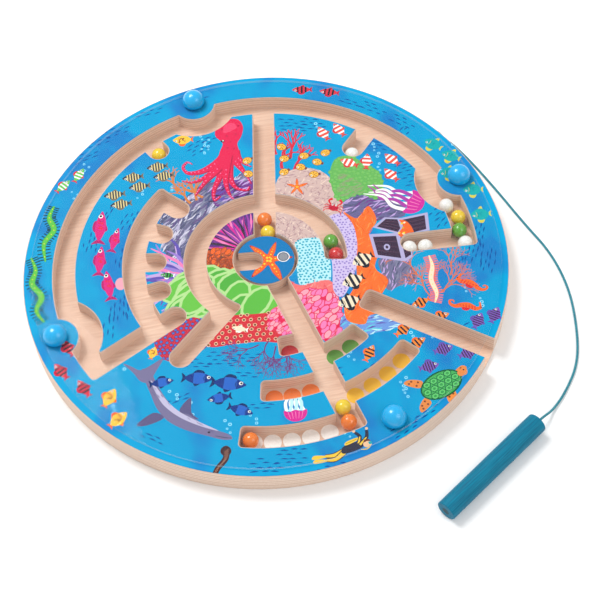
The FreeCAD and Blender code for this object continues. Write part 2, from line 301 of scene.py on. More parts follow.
def cord_material():
    """Tightly braided cord."""
    material, tree, shader = new_material("cord", Roughness=0.75, Sheen_Weight=0.3)
    weave = node(tree, "TexVoronoi", Scale=2600.0)
    feed(tree, stretched(tree, (1, 1, 1)), weave.inputs["Vector"])
    tone = ramp(tree, weave.outputs["Distance"], [(0.1, ink(40, 165, 178)), (0.7, ink(0, 96, 116))])
    feed(tree, tone, shader.inputs["Base Color"])
    bump(tree, weave.outputs["Distance"], 0.5, 0.0003)
    return material


# --- drawing tools: flat outlines in mm
class Sheet:
    """Outlines drawn one over the other on a flat base, then cut into one mesh."""

    def __init__(self):
        self.shapes = []

    def add(self, colour, points):
        if area_of(points) < 0:
            points = points[::-1]
        self.shapes.append((colour, points))

    def to_object(self, name, base_loops, base_colour, z_low, z_high, shift=Vector((0, 0))):
        """Closed mesh of the base, less its holes, its top in the inks of the shapes that lie highest."""
        outlines = [[Vector(p) for p in loop] for loop in base_loops]
        outlines += [[Vector(p) + shift for p in points] for _, points in self.shapes]
        base = len(base_loops)
        flat, cells, owners = cut_up([p for outline in outlines for p in outline], numbered(outlines), base)
        index = {v: i for i, v in enumerate(sorted({v for cell in cells for v in cell}))}
        tops = [[index[v] for v in cell] for cell in cells]
        inks = [self.shapes[top - base][0] if top >= base else base_colour for top in owners]
        above = [(flat[v].x * MM, flat[v].y * MM, z_high * MM) for v in index]
        loops = rim_loops(tops)
        rings = numbered(loops)
        rim = [above[v][:2] for loop in loops for v in loop]
        first = len(above)
        turned = [ring if area_of([rim[v] for v in ring]) > 0 else ring[::-1] for ring in rings]
        _, cells, _ = cut_up([Vector(p) for p in rim], turned, len(rings))
        bottoms = [[v + first for v in reversed(cell)] for cell in cells]
        sides = []
        for loop, ring in zip(loops, rings):
            for (a, u), (b, v) in zip(zip(loop, ring), zip(loop[1:] + loop[:1], ring[1:] + ring[:1])):
                sides.append([b, a, u + first, v + first])
        mesh = bpy.data.meshes.new(name)
        mesh.from_pydata(above + [(x, y, z_low * MM) for x, y in rim], [], tops + bottoms + sides)
        layer = mesh.color_attributes.new("ink", "FLOAT_COLOR", "CORNER")
        colours = [colour for cell, colour in zip(tops, inks) for _ in cell]
        colours += [SEA for cell in bottoms + sides for _ in cell]
        layer.data.foreach_set("color", np.array(colours, np.float32).ravel())
        return put_in_scene(name, mesh)


def numbered(loops):
    """Corner numbers of each loop, when the corners of all the loops are listed one after another."""
    rings, used = [], 0
    for loop in loops:
        rings.append(list(range(used, used + len(loop))))
        used += len(loop)
    return rings


INSIDE_ONLY, NEAR = 1, 1e-7  # the triangulation's output type, and its snapping distance


def cut_up(corners, faces, loops):
    """Triangles in the first face, outside the other loops, each with the last face it is in."""
    flat, _, cells, _, _, owners = delaunay_2d_cdt(corners, [], faces, INSIDE_ONLY, NEAR, True)
    holes = set(range(1, loops))
    kept = [(cell, max(own)) for cell, own in zip(cells, owners) if 0 in own and not holes & set(own)]
    return flat, [cell for cell, _ in kept], [top for _, top in kept]


def rim_loops(cells):
    """Open edges of some faces as loops of corners, the longest first."""
    ways = {(a, b) for cell in cells for a, b in zip(cell, cell[1:] + cell[:1])}
    after = {a: b for a, b in ways if (b, a) not in ways}
    loops = []
    for start in sorted(after):
        loop = []
        while start in after:
            loop.append(start)
            start = after.pop(start)
        if loop:
            loops.append(loop)
    return sorted(loops, key=len, reverse=True)


def area_of(points):
    return sum(a[0] * b[1] - b[0] * a[1] for a, b in zip(points, points[1:] + points[:1])) / 2


def smooth(points, closed=True, steps=4):
    """Points on a soft curve through the given ones."""
    count = len(points)
    made = []
    spans = count if closed else count - 1
    for i in range(spans):
        near = [(i + k) % count if closed else min(max(i + k, 0), count - 1) for k in (-1, 0, 1, 2)]
        a, b, c, d = [Vector(points[k]) for k in near]
        for k in range(steps):
            t = k / steps
            square, cube = 2 * a - 5 * b + 4 * c - d, 3 * b - 3 * c + d - a
            p = 0.5 * ((2 * b) + (c - a) * t + square * t * t + cube * t ** 3)
            made.append((p.x, p.y))
    if not closed:
        made.append(tuple(points[-1]))
    return made


def ribbon(points, widths, steps=4):
    """Outline of a soft line through the points, whose width runs through the given widths."""
    line = smooth(points, False, steps)
    last = len(line) - 1
    left, right = [], []
    for i, p in enumerate(line):
        a, b = Vector(line[max(i - 1, 0)]), Vector(line[min(i + 1, last)])
        side = (b - a).orthogonal().normalized()
        at = i / last * (len(widths) - 1)
        k = min(int(at), len(widths) - 2)
        half = (widths[k] + (widths[k + 1] - widths[k]) * (at - k)) / 2
        left.append((p[0] + side.x * half, p[1] + side.y * half))
        right.append((p[0] - side.x * half, p[1] - side.y * half))
    return left + right[::-1]


def oval(x, y, rx, ry=None, turn=0.0, count=14):
    ry = rx if ry is None else ry
    c, s = heading(turn)
    made = []
    for i in range(count):
        a = math.tau * i / count
        u, v = rx * math.cos(a), ry * math.sin(a)
        made.append((x + u * c - v * s, y + u * s + v * c))
    return made


def inside(point, outline):
    x, y = point
    odd = False
    for (ax, ay), (bx, by) in zip(outline, outline[1:] + outline[:1]):
        if (ay > y) != (by > y) and x < (bx - ax) * (y - ay) / (by - ay) + ax:
            odd = not odd
    return odd


class Pen:
    """Draws on a sheet in a creature's own frame: x towards its nose, y towards its back."""

    def __init__(self, sheet, x=0.0, y=0.0, turn=0.0, size=1.0, flip=False):
        self.sheet, self.at, self.size, self.flip = sheet, Vector((x, y)), size, flip
        self.c, self.s = heading(turn)

    def move(self, points):
        made = []
        for u, v in points:
            v = -v if self.flip else v
            made.append((self.at.x + self.size * (u * self.c - v * self.s),
                self.at.y + self.size * (u * self.s + v * self.c)))
        return made

    def fill(self, colour, points, steps=4):
        self.sheet.add(colour, self.move(smooth(points, True, steps) if steps > 1 else points))

    def line(self, colour, points, widths, steps=4):
        self.sheet.add(colour, self.move(ribbon(points, widths, steps)))

    def dot(self, colour, x, y, rx, ry=None, turn=0.0, count=12):
        self.sheet.add(colour, self.move(oval(x, y, rx, ry, turn, count)))


def spindle(depth, start, end, fullness=0.75, steps=7):
    """Part of a fish's body between two places along it, from 0 at the tail to 1 at the nose."""
    along = [start + (end - start) * i / steps for i in range(steps + 1)]
    half = [depth / 2 * math.sin(math.pi * min(max(t, 0.02), 0.985) ** 0.9) ** fullness for t in along]
    upper = [(t - 0.5, h) for t, h in zip(along, half)]
    lower = [(t - 0.5, -h) for t, h in zip(along, half)]
    return lower + upper[::-1]


# --- inks
SEA = (0.0, 0.35, 0.72, 0.0)  # alpha 0: the sea's own patches show
NAVY, DASH, FOAM = ink(18, 40, 96), ink(8, 76, 150), ink(150, 226, 246)
BLACK, WHITE, CREAM = ink(34, 30, 40), ink(246, 246, 240), ink(240, 222, 190)
RED, CRIMSON, ORANGE = ink(214, 36, 44), ink(222, 30, 76), ink(238, 100, 34)
YELLOW, GOLD, BROWN, GREEN = ink(246, 206, 50), ink(214, 160, 44), ink(120, 62, 40), ink(60, 158, 66)
TEAL, AQUA, ICE = ink(0, 140, 150), ink(96, 204, 220), ink(186, 232, 238)
PURPLE, VIOLET, LILAC = ink(112, 52, 132), ink(96, 78, 168), ink(190, 160, 214)
MAGENTA, PINK, ROSE = ink(214, 38, 142), ink(236, 124, 178), ink(238, 160, 176)
GREY, SLATE, PLUM, SALMON = ink(128, 128, 152), ink(84, 84, 112), ink(62, 40, 60), ink(238, 112, 110)


# --- creatures, all of a plain made-up kind
def fish(sheet, x, y, turn, length, body, bands, band_ink, fin, depth=0.5, spots=0):
    """Fish with bands across it, given as (start, end) along its body, and with spots in the bands' ink."""
    pen = Pen(sheet, x, y, turn, length)
    pen.fill(fin, [(-0.44, 0.0), (-0.62, 0.20), (-0.58, 0.0), (-0.62, -0.20)], 3)
    pen.fill(fin, [(-0.22, depth * 0.36), (-0.10, depth * 0.72), (0.12, depth * 0.66),
        (0.16, depth * 0.40)], 3)
    pen.fill(fin, [(-0.18, -depth * 0.36), (-0.12, -depth * 0.70), (0.08, -depth * 0.40)], 3)
    pen.fill(body, spindle(depth, 0.0, 1.0), 1)
    for start, end in bands:
        pen.fill(band_ink, spindle(depth * 0.99, start, end, steps=3), 1)
    rng = random.Random(0)
    for _ in range(spots):
        u, v = rng.uniform(-0.3, 0.2), rng.uniform(-0.5, 0.5) * depth * 0.6
        pen.dot(band_ink, u, v, 0.045, count=6)
    pen.line(fin, [(0.20, depth * 0.22), (0.16, 0), (0.20, -depth * 0.22)], [0.012, 0.028, 0.012], 3)
    pen.dot(WHITE, 0.33, depth * 0.10, 0.065, count=8)
    pen.dot(BLACK, 0.34, depth * 0.10, 0.04, count=6)


def shoal(sheet, places, *looks, **more):
    """Fish of one kind; what changes between them comes first: x, y, turn and length."""
    for place in places:
        fish(sheet, *place, *looks, **more)


def puffer(sheet, x, y, size, turn):
    pen = Pen(sheet, x, y, turn, size)
    pen.fill(BROWN, [(-0.4, 0), (-0.68, 0.2), (-0.68, -0.2)], 2)
    pen.dot(BROWN, 0, 0, 0.54, 0.47, count=14)
    pen.dot(ink(248, 184, 62), 0, 0, 0.48, 0.41, count=14)
    for u, v in ((-0.2, 0.2), (0.05, 0.25), (-0.25, -0.1), (0.0, -0.22), (-0.05, 0.03)):
        pen.dot(BROWN, u, v, 0.07, count=6)
    pen.dot(WHITE, 0.28, 0.12, 0.12, count=8)
    pen.dot(BLACK, 0.30, 0.12, 0.07, count=6)
    pen.dot(BLACK, 0.26, -0.14, 0.10, 0.04, count=6)


def octopus(sheet):
    """Octopus with its head up and its arms spread below it."""
    pen = Pen(sheet)
    shade = ink(176, 22, 62)
    arms = [[(-19, 90), (-23, 84), (-29, 79), (-37, 75), (-45, 75), (-48, 80), (-45, 84), (-42, 82)],
        [(-19, 90), (-24, 80), (-33, 71), (-42, 67), (-49, 69)], [(-18, 90), (-21, 80), (-25, 69),
        (-29, 59), (-29, 51), (-25, 54)], [(-17, 90), (-18, 80), (-18, 68), (-15, 60), (-8, 57), (-6, 60)],
        [(-15, 90), (-14, 82), (-10, 74), (-7, 68), (-5, 62)], [(-20, 90), (-25, 77), (-33, 68), (-38, 61),
        (-41, 56)], [(-14, 90), (-12, 84), (-8, 79), (-4, 76)], [(-18, 90), (-20, 76), (-21, 64),
        (-19, 54), (-16, 50)]]
    for arm in arms:
        pen.line(shade, [(u + 0.5, v - 0.5) for u, v in arm], [7.0, 5.6, 4.0, 2.4, 1.3, 0.7], 5)
        pen.line(CRIMSON, arm, [6.6, 5.2, 3.6, 2.0, 1.0, 0.4], 5)
        for (au, av), (bu, bv) in zip(arm[1:], arm[2:]):
            for t in (0.1, 0.4, 0.7):
                pen.dot(PINK, au + (bu - au) * t, av + (bv - av) * t, 0.45, count=6)
    pen.fill(CRIMSON, [(-21, 97), (-25.5, 104), (-24, 112), (-17, 117), (-10, 116.5), (-7, 110),
        (-8.5, 102), (-11.5, 96), (-11, 88), (-18, 86), (-23, 90)], 5)
    pen.fill(ink(238, 66, 104), [(-20, 106), (-19, 112), (-14, 114), (-11, 110), (-15, 107)], 4)
    pen.dot(BLACK, -21.0, 99.0, 1.3, 1.0)
    pen.dot(WHITE, -20.7, 99.3, 0.5, count=8)
    for u, v in ((-18, 103), (-12, 104), (-16, 98), (-21, 109), (-10, 111), (-14, 92), (-18, 93)):
        pen.dot(shade, u, v, 0.7, count=7)


def jellyfish(sheet, x, y, turn, size, bell, trail):
    """Jellyfish with a striped bell and seven wavy arms, every other one white."""
    pen = Pen(sheet, x, y, turn, size)
    for i in range(7):
        u = -0.42 + i * 0.14
        sway = 0.10 * (-1) ** i
        arm = [(u, 0), (u * 0.8 + sway, -0.5), (u * 0.6 - sway, -1.0),
            (u * 0.5 + sway, -1.7 + 0.15 * (i % 3))]
        pen.line(trail if i % 2 else WHITE, arm, [0.16, 0.15, 0.11, 0.03], 4)
    pen.fill(bell, [(-0.55, -0.05), (-0.5, 0.3), (-0.2, 0.55), (0.2, 0.55), (0.5, 0.3), (0.55, -0.05),
        (0.3, 0.03), (0, -0.06), (-0.3, 0.03)], 4)
    for i in range(5):
        pen.line(PINK, [(-0.36 + 0.18 * i, 0.04), (-0.26 + 0.13 * i, 0.42)], [0.04, 0.02], 3)


def seahorse(sheet, x, y, turn, size, skin, stripe, flip=False):
    """Upright seahorse with a curled tail and cross stripes."""
    pen = Pen(sheet, x, y, turn, size, flip)
    spine = [(0.12, 0.86), (0.0, 0.62), (0.10, 0.32), (0.06, 0.0), (-0.08, -0.3), (-0.02, -0.55),
        (0.16, -0.62), (0.20, -0.46), (0.1, -0.42)]
    pen.fill(stripe, [(0.02, 0.4), (-0.2, 0.28), (-0.18, 0.02), (0.02, 0.05)], 3)
    pen.line(skin, spine, [0.14, 0.24, 0.30, 0.24, 0.16, 0.11, 0.07, 0.04], 5)
    pen.line(skin, [(0.08, 0.84), (0.26, 0.80), (0.40, 0.74)], [0.16, 0.09, 0.07], 3)
    for i in range(7):
        v = 0.62 - 0.14 * i
        pen.line(stripe, [(-0.10 + 0.02 * i, v), (0.16 - 0.02 * i, v - 0.05)], [0.045, 0.045], 2)
    pen.dot(BLACK, 0.14, 0.86, 0.035, count=6)


def eel(sheet, points, width, skin, rim):
    """Wavy ribbon fish with a fringed edge."""
    line = smooth(points, False, 6)
    fringe = ink(14, 62, 66) if rim == GREEN else rim
    for i in range(1, len(line) - 1):
        a, b = Vector(line[i - 1]), Vector(line[i + 1])
        side = (b - a).orthogonal().normalized() * width * 1.15
        c = Vector(line[i])
        sheet.add(fringe, ribbon([tuple(c - side), tuple(c + side)], [0.8, 0.8], 1))
    pen = Pen(sheet)
    pen.line(rim, points, [width * 0.35, width * 1.12, width * 1.1, width * 0.3], 6)
    pen.line(skin, points, [width * 0.2, width * 0.85, width * 0.82, width * 0.15], 6)
    for i in range(2, len(line) - 2, 2):
        sheet.add(YELLOW, oval(line[i][0], line[i][1], 0.38, count=6))


def starfish(sheet, x, y, turn, tips, skin, dots):
    """Five armed star through its tips, given from its centre."""
    pen = Pen(sheet, x, y, turn, 1.0)
    tips = sorted(tips, key=lambda tip: math.atan2(tip[1], tip[0]))
    outline = []
    for i, (u, v) in enumerate(tips):
        nu, nv = tips[(i + 1) % len(tips)]
        reach = math.hypot(u, v)
        w = (-v / reach, u / reach)
        outline += [(u * 0.55 - w[0] * reach * 0.13, v * 0.55 - w[1] * reach * 0.13), (u, v),
            (u * 0.55 + w[0] * reach * 0.13, v * 0.55 + w[1] * reach * 0.13),
            ((u + nu) * 0.15, (v + nv) * 0.15)]
    pen.fill(ink(168, 30, 24), [(u * 1.07, v * 1.07) for u, v in outline], 3)
    pen.fill(skin, outline, 3)
    for u, v in tips:
        for t in (0.1, 0.28, 0.45, 0.6, 0.74, 0.86):
            pen.dot(dots, u * t, v * t, 0.055 * math.hypot(u, v) * (1.05 - t), count=7)


def crab(sheet, x, y, size):
    pen = Pen(sheet, x, y, -20, size)
    for side in (-1, 1):
        for k in (-0.5, -0.15, 0.2):
            leg = [(side * 0.3, k * 0.5), (side * 0.75, k * 0.9 + 0.1), (side * 0.95, k * 1.3 - 0.15)]
            pen.line(RED, leg, [0.12, 0.10, 0.05], 3)
        pen.line(RED, [(side * 0.3, 0.3), (side * 0.65, 0.75), (side * 0.35, 1.05)], [0.14, 0.2, 0.3], 3)
    pen.dot(ink(190, 24, 48), 0, 0, 0.5, 0.4)
    for side in (-1, 1):
        pen.dot(WHITE, side * 0.18, 0.32, 0.1, count=8)
        pen.dot(BLACK, side * 0.18, 0.34, 0.05, count=6)


def dolphin(sheet):
    pen = Pen(sheet)
    body = [(-78, -70), (-76, -79), (-73, -88), (-70, -97), (-64, -106), (-54, -113), (-42, -118),
        (-33, -121.5), (-27.5, -121.6), (-29, -118.6), (-36, -115), (-44, -110), (-52, -103), (-58, -101),
        (-64, -92), (-69, -82), (-73, -72)]
    skin, shade, belly = ink(118, 110, 146), ink(92, 84, 124), ink(190, 184, 212)
    pen.fill(skin, [(-89, -65), (-84, -67.5), (-79, -70.5), (-73, -68), (-65, -63.5), (-69, -71),
        (-74, -79), (-79, -78), (-83, -72)], 4)
    pen.fill(shade, [(-57, -101), (-50, -92), (-50, -102), (-46, -107)], 4)
    pen.fill(skin, body, 4)
    pen.fill(belly, [(-73, -78), (-68, -86), (-63, -94), (-56, -101.5), (-46, -108.5), (-35, -115.5),
        (-44, -112), (-54, -106.5), (-62, -100), (-68, -92)], 4)
    pen.fill(shade, [(-66, -104), (-76, -108), (-82, -107), (-72, -100)], 4)
    pen.line(BLACK, [(-37, -118.5), (-32, -120.2), (-28, -120.9)], [0.2, 0.35, 0.2], 3)
    pen.dot(BLACK, -40.5, -116.0, 0.75, 0.6)
    rng = random.Random(4)
    for _ in range(40):
        t = rng.random()
        u, v = -76 + 38 * t + rng.uniform(-3, 3), -80 - 34 * t + rng.uniform(-2, 2)
        if inside((u, v), body):
            pen.line(shade, [(u, v), (u + 1.6, v - 2.2)], [0.12, 0.28, 0.1], 2)


def turtle(sheet):
    pen = Pen(sheet, 96, -98, 28, 1.0)
    skin, rim = ink(226, 134, 64), ink(20, 92, 52)
    scute = ((rim, 2.75, 2.35), (ink(96, 196, 104), 2.2, 1.8), (ink(58, 150, 74), 1.1, 0.9))
    limbs = [[(10, 2), (17, 4), (19, 1), (13, -2)], [(-8, 8), (-14, 13), (-18, 12), (-12, 5)], [(4, -7),
        (2, -13), (-3, -14), (-2, -8)], [(-13, -2), (-19, -5), (-20, -9), (-12, -7)]]
    for limb in limbs:
        pen.fill(skin, limb, 4)
        centre = (sum(p[0] for p in limb) / 4, sum(p[1] for p in limb) / 4)
        for p in limb:
            pen.dot(BROWN, (p[0] + centre[0]) / 2, (p[1] + centre[1]) / 2, 0.7, count=7)
    pen.dot(rim, 0, 0, 13.6, 8.6, count=24)
    pen.dot(ink(70, 170, 84), 0, 0, 12.6, 7.6, count=24)
    for row, count in ((0, 5), (1, 4), (-1, 4)):
        for i in range(count):
            u, v = (i - (count - 1) / 2) * 4.9, row * 4.3
            for tone, wide, high in scute:
                pen.dot(tone, u, v, wide, high, count=6)
    pen.fill(skin, [(12.5, 1.5), (17, 2.6), (18.4, 0), (16.5, -2.4), (12.5, -1.5)], 4)
    pen.dot(BLACK, 16.6, 0.9, 0.5, count=8)


def diver(sheet):
    """Small swimmer in a wetsuit and a plain mask."""
    pen = Pen(sheet, 38, -134.5, 12, 1.0)
    suit, trim, skin = ink(52, 46, 62), ink(240, 196, 60), ink(236, 190, 150)
    for side in (0, 1):
        dy = -2.6 * side
        leg = [(-3, -0.5 + dy * 0.3), (-9, -1.5 + dy), (-14, -0.5 + dy)]
        pen.line(suit, leg, [3.8, 3.1, 2.3], 4)
        pen.line(trim, leg, [2.8, 2.1, 1.4], 4)
        pen.fill(trim, [(-14, -0.2 + dy), (-20, 1.6 + dy), (-21.5, -0.6 + dy), (-14.2, -1.4 + dy)], 3)
    pen.fill(suit, [(-4, -2), (-3, 2), (4, 3), (8, 2.4), (8.5, -1), (3, -2.4)], 4)
    pen.fill(trim, [(-1, 2.5), (6, 3.6), (7, 5.4), (0, 4.6)], 4)
    pen.line(ink(150, 110, 40), [(-0.5, 3.5), (6.5, 4.6)], [0.3, 0.3], 2)
    for arm in ([(6.5, 1.5), (8.5, 5.5), (6.5, 9.0)], [(7, 0.5), (12, 4), (13.5, 8.5)]):
        pen.line(suit, arm, [2.6, 2.2, 1.7], 4)
        pen.line(trim, arm[:2], [1.3, 0.6], 3)
    pen.dot(skin, 6.2, 9.8, 0.9, count=8)
    pen.dot(skin, 13.8, 9.4, 0.9, count=8)
    pen.dot(skin, 11.2, -0.2, 2.5, 2.2)
    pen.fill(ink(110, 58, 40), [(9.2, 1.2), (10.4, 2.9), (12.8, 2.6), (13.3, 1.2), (11.4, 1.6)], 3)
    pen.fill(ink(40, 160, 170), [(12.0, 0.9), (13.7, 0.8), (13.9, -0.7), (12.2, -0.8)], 2)
    pen.line(trim, [(12.6, -1.6), (10.0, -3.2), (6.5, -2.4)], [0.7, 0.6, 0.5], 3)


def chest(sheet):
    """Open treasure chest seen from a corner."""
    frame_ink, dark = ink(176, 168, 206), PLUM
    faces = [[(69, 19), (77, 26), (93, 23.5), (85, 12)], [(66, 14), (68, -4), (86, -9), (84.5, 13)],
        [(85, 24), (87, 9.5), (104, 13), (104.5, 27)], [(84.5, 13), (86, -9), (91, -6), (90, 10)]]
    for points in faces:
        sheet.add(frame_ink, points)
        cx, cy = sum(p[0] for p in points) / 4, sum(p[1] for p in points) / 4
        inner = [(cx + (x - cx) * 0.78, cy + (y - cy) * 0.78) for x, y in points]
        sheet.add(dark, inner)
        for k in (0.25, 0.5, 0.75):
            a = Vector(inner[0]).lerp(Vector(inner[1]), k)
            b = Vector(inner[3]).lerp(Vector(inner[2]), k)
            sheet.add(ink(96, 64, 84), ribbon([tuple(a), tuple(b)], [0.35, 0.35], 2))
    gold = [(84, 12), (88, 18), (86, 23), (91, 21), (94, 13), (92, 4), (88, 8)]
    sheet.add(ORANGE, smooth(gold, True, 4))
    rng = random.Random(9)
    for _ in range(26):
        p = (rng.uniform(84, 94), rng.uniform(4, 22))
        if inside(p, gold):
            sheet.add(rng.choice((YELLOW, GOLD, CREAM)), oval(p[0], p[1], 0.9, 0.7, 20, 8))
    sheet.add(frame_ink, oval(76, 3, 2.0, 2.4))
    sheet.add(dark, oval(76, 3, 0.9, 1.2))


# --- corals, rocks and water marks
def dotted(sheet, outline, base, dot, pitch, radius, seed, ring=None, jitter=0.25):
    """Blob with a packed pattern of dots inside it."""
    edge = smooth(outline, True, 5)
    sheet.add(base, edge)
    rng = random.Random(seed)
    xs, ys = [p[0] for p in edge], [p[1] for p in edge]
    y, row = min(ys), 0
    while y < max(ys):
        x = min(xs) + (row % 2) * pitch / 2
        while x < max(xs):
            p = (x + rng.uniform(-1, 1) * jitter * pitch, y + rng.uniform(-1, 1) * jitter * pitch)
            if inside(p, edge):
                if ring:
                    sheet.add(ring, oval(*p, radius * 1.5, radius * 1.35, rng.uniform(0, 90), 9))
                sheet.add(dot, oval(*p, radius, radius * rng.uniform(0.8, 1.1), 0, 7))
            x += pitch
        y += pitch * 0.87
        row += 1


def points_inside(edge, count, rng):
    """Random points inside an outline, each given when it is asked for."""
    xs, ys = [p[0] for p in edge], [p[1] for p in edge]
    while count:
        p = (rng.uniform(min(xs), max(xs)), rng.uniform(min(ys), max(ys)))
        if inside(p, edge):
            count -= 1
            yield p


def hatched(sheet, outline, base, inks, count, length, width, turn, seed, spread=25):
    """Blob filled with short tapered strokes."""
    edge = smooth(outline, True, 5)
    if base:
        sheet.add(base, edge)
    rng = random.Random(seed)
    for i, p in enumerate(points_inside(edge, count, rng)):
        c, s = heading(turn + rng.uniform(-spread, spread))
        reach = length * rng.uniform(0.6, 1.2) / 2
        bow = rng.uniform(-0.25, 0.25) * reach
        line = [(p[0] - reach * c, p[1] - reach * s), (p[0] - bow * s, p[1] + bow * c),
            (p[0] + reach * c, p[1] + reach * s)]
        sheet.add(inks[i % len(inks)], ribbon(line, [width * 0.2, width, width * 0.2], 2))


def fan(sheet, x, y, start, end, reach, inks, count, width, seed, wave=0.12):
    """Fan of wavy fronds that spread from one foot."""
    rng = random.Random(seed)
    for i in range(count):
        c, s = heading(start + (end - start) * (i + 0.5) / count + rng.uniform(-3, 3))
        r = reach * rng.uniform(0.75, 1.05)
        along, across = Vector((c, s)), Vector((-s, c))
        line = []
        for k in range(5):
            t = k / 4
            p = Vector((x, y)) + along * r * t + across * r * wave * math.sin(t * 5 + i) * t
            line.append((p.x, p.y))
        sheet.add(inks[i % len(inks)], ribbon(line, [width * 0.5, width, width * 1.1, width * 0.3], 3))


def branch(sheet, colour, x, y, turn, length, width, depth, rng, spread):
    """Branching coral."""
    bend = turn + rng.uniform(-14, 14)
    c, s = heading(bend)
    tip = (x + length * c, y + length * s)
    c, s = heading(turn)
    middle = (x + length * 0.5 * c, y + length * 0.5 * s)
    sheet.add(colour, ribbon([(x, y), middle, tip], [width, width * 0.85, width * 0.65], 2))
    if depth:
        for side in (-1, 1, rng.choice((-0.3, 0.3))):
            if side in (-1, 1) or depth > 2:
                branch(sheet, colour, tip[0], tip[1], bend + side * spread * rng.uniform(0.7, 1.3),
                    length * rng.uniform(0.62, 0.85), width * 0.72, depth - 1, rng, spread)


def corals(sheet, colour, feet, length, width, depth, rng, spread):
    """Several branching corals, from feet given as (x, y, turn)."""
    for x, y, turn in feet:
        branch(sheet, colour, x, y, turn, length, width, depth, rng, spread)


def stones(sheet, outline, inks, size, count, seed):
    """Heap of overlapping rounded leaves or pebbles."""
    edge = smooth(outline, True, 5)
    sheet.add(inks[0], edge)
    rng = random.Random(seed)
    for i, p in enumerate(points_inside(edge, count, rng)):
        turn = rng.uniform(20, 70)
        sheet.add(inks[0], oval(*p, size * 1.16, size * 0.72, turn, 12))
        sheet.add(inks[1 + i % (len(inks) - 1)], oval(*p, size, size * 0.56, turn, 12))


def dashes(sheet, spots, seed):
    """Small groups of strokes in staggered rows, that stand for ripples."""
    rng = random.Random(seed)
    for x, y, count, slope in spots:
        lean, (c, s) = math.radians(slope), heading(slope)
        for i in range(round(count * 1.6)):
            row, place = divmod(i, 3)
            ahead = 6.0 * (place - 1) + 3.0 * (row % 2) + rng.uniform(-0.8, 0.8)
            across = 2.7 * (row - 0.27 * count) + rng.uniform(-0.5, 0.5)
            u, v = x + ahead * c - across * s, y + ahead * s + across * c
            half, turn = rng.uniform(1.6, 2.5), lean + rng.uniform(-0.12, 0.12)
            run, rise = half * math.cos(turn), half * math.sin(turn)
            sheet.add(DASH, ribbon([(u - run, v - rise), (u, v + 0.2), (u + run, v + rise)],
                [0.2, 0.95, 0.2], 2))


def bubbles(sheet, spots, seed):
    """Loose columns of small foam rings, none of which meet."""
    rng = random.Random(seed)
    for x, y, count in spots:
        for i in range(count):
            u, v, r = x + rng.uniform(-2.2, 2.2), y + 2.7 * (i - count / 2), rng.uniform(0.6, 1.2)
            sheet.add(FOAM, oval(u, v, r, count=10))
            sheet.add(SEA, oval(u, v, r * 0.55, count=8))


# --- the printed picture
STRIPED = [(0.20, 0.30), (0.42, 0.52), (0.64, 0.74)]
CLOWN = [(0.16, 0.28), (0.44, 0.58), (0.72, 0.82)]
FINE = [(0.14, 0.20), (0.28, 0.34), (0.42, 0.48), (0.56, 0.62), (0.70, 0.76)]


def draw_rocks(sheet):
    hatched(sheet, [(-62, 32), (-62, 45), (-48, 54), (-36, 64), (-18, 67), (-3, 70), (-2, 46), (-20, 47),
        (-38, 36), (-47, 20), (-52, 6), (-62, 14)], ink(104, 100, 132), [SLATE, ink(176, 170, 198),
        ink(76, 80, 120), GREY, ink(206, 202, 218), ink(104, 84, 130)], 330, 8.5, 1.3, 52, 11, 20)
    hatched(sheet, [(-30, 62), (-16, 66), (-2, 62), (-2, 47), (-16, 49), (-28, 46)],
        PURPLE, [VIOLET, LILAC, PLUM, GREY], 70, 7, 1.2, 25, 12, 20)
    hatched(sheet, [(52, 44), (70, 46), (86, 38), (90, 26), (72, 24), (54, 20)], ink(104, 96, 140),
        [PURPLE, SLATE, LILAC], 90, 7, 1.1, 20, 13)
    hatched(sheet, [(70, -6), (84, -4), (90, -14), (91, -26), (82, -26), (73, -29), (71, -18)],
        ink(112, 108, 140), [SLATE, GREY, LILAC], 60, 6, 0.9, 70, 14)
    hatched(sheet, [(38, -44), (60, -46), (78, -48), (76, -56), (54, -60), (42, -66), (34, -58)],
        ink(108, 148, 214), [VIOLET, AQUA, ICE], 60, 6, 1.0, 10, 15)


